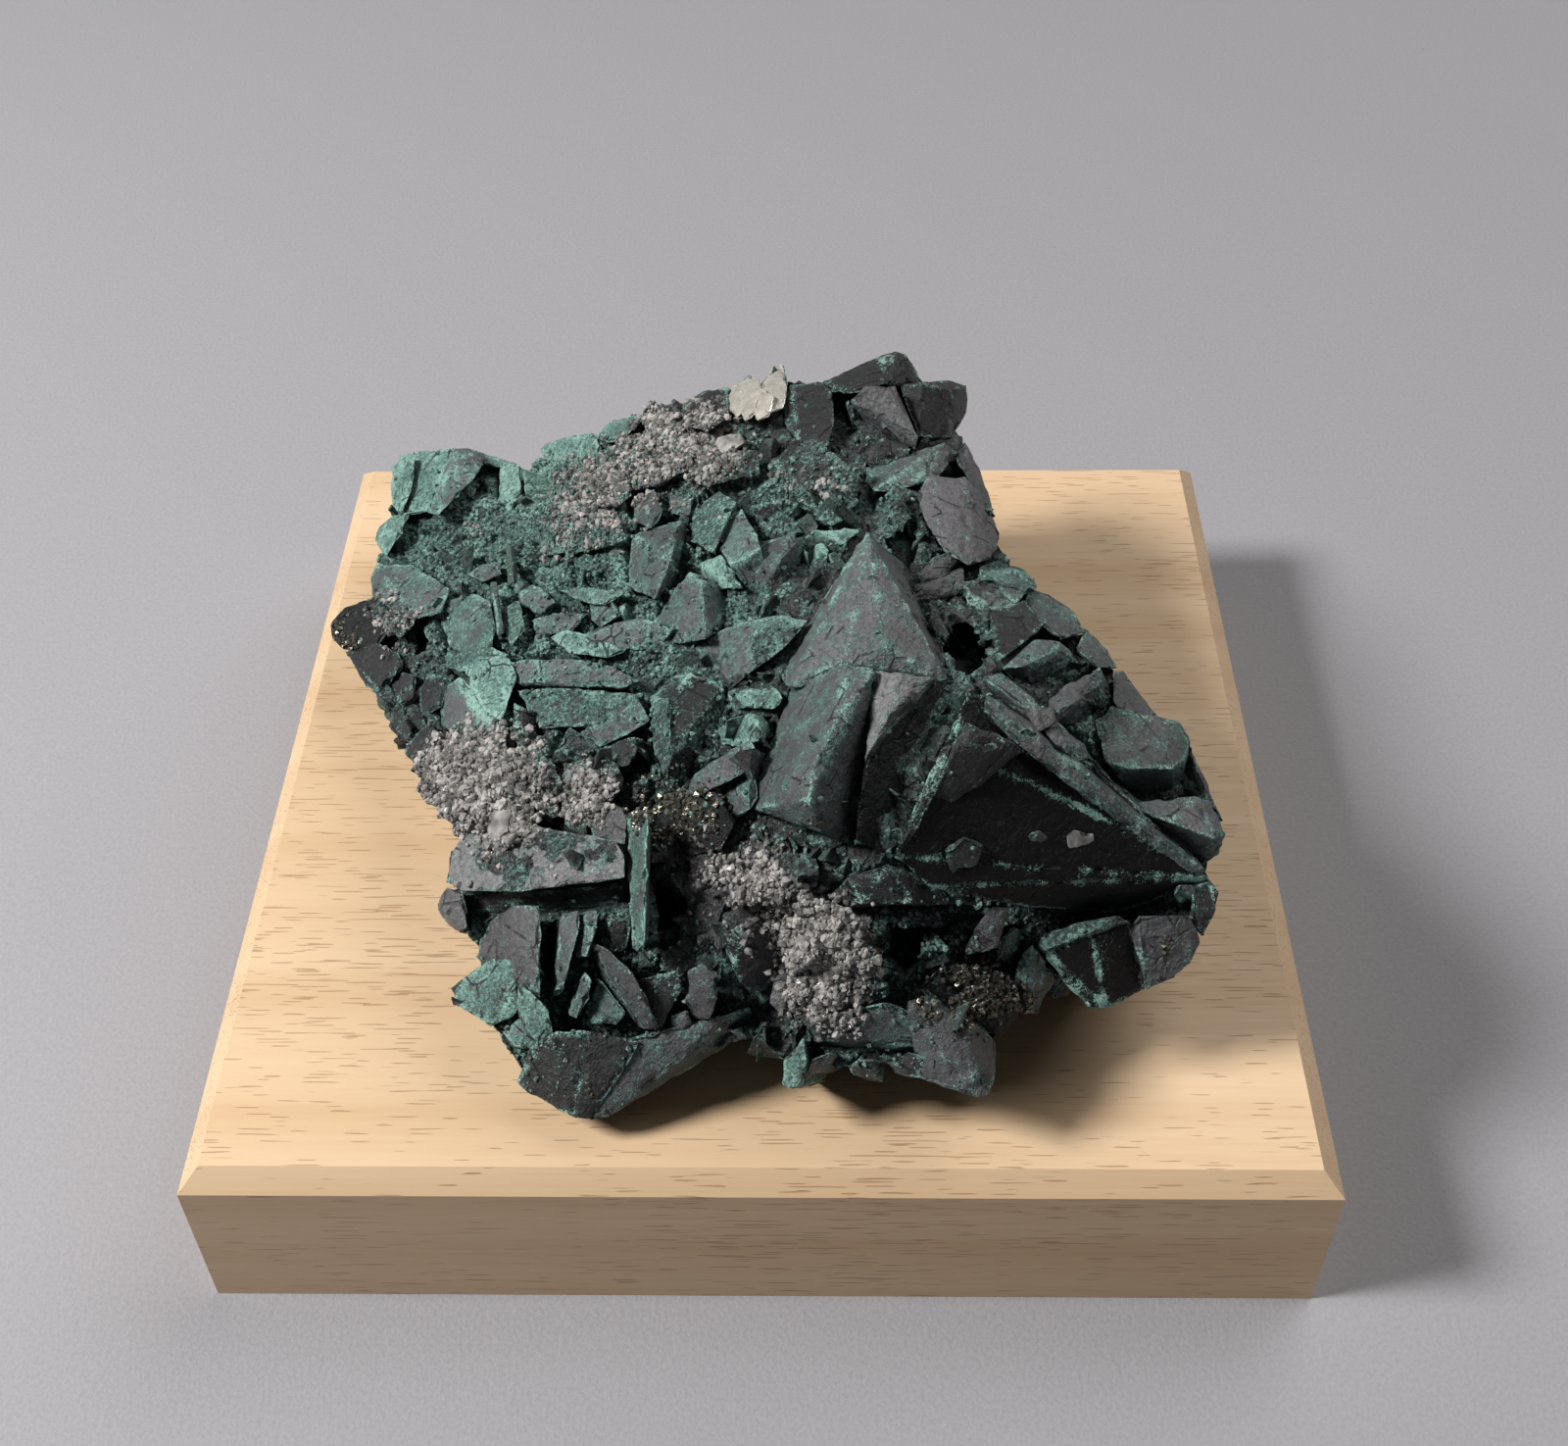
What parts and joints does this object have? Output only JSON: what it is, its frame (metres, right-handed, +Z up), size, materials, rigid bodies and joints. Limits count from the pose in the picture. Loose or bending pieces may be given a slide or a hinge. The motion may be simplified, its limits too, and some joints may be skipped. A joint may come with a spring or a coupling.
{
  "type": "tennantite specimen on stand",
  "caption": "Natural cluster of intergrown, flat-faced dark grey crystals with a green coat and pale crusts, resting on a square block of pale wood.",
  "frame": {"origin": "middle of the stand's underside", "axes": "+X to the right of the picture, +Y away from its camera, +Z up"},
  "size_m": [0.1, 0.1, 0.0549],
  "materials": {
    "pale_wood": "smooth, unpolished, fine brown pores",
    "tennantite": "dull metallic grey crystals with a powdery green coat"
  },
  "bodies": {
    "root": {"wooden_stand": "pale_wood", "tennantite_cluster": "tennantite"}
  },
  "joints": []
}
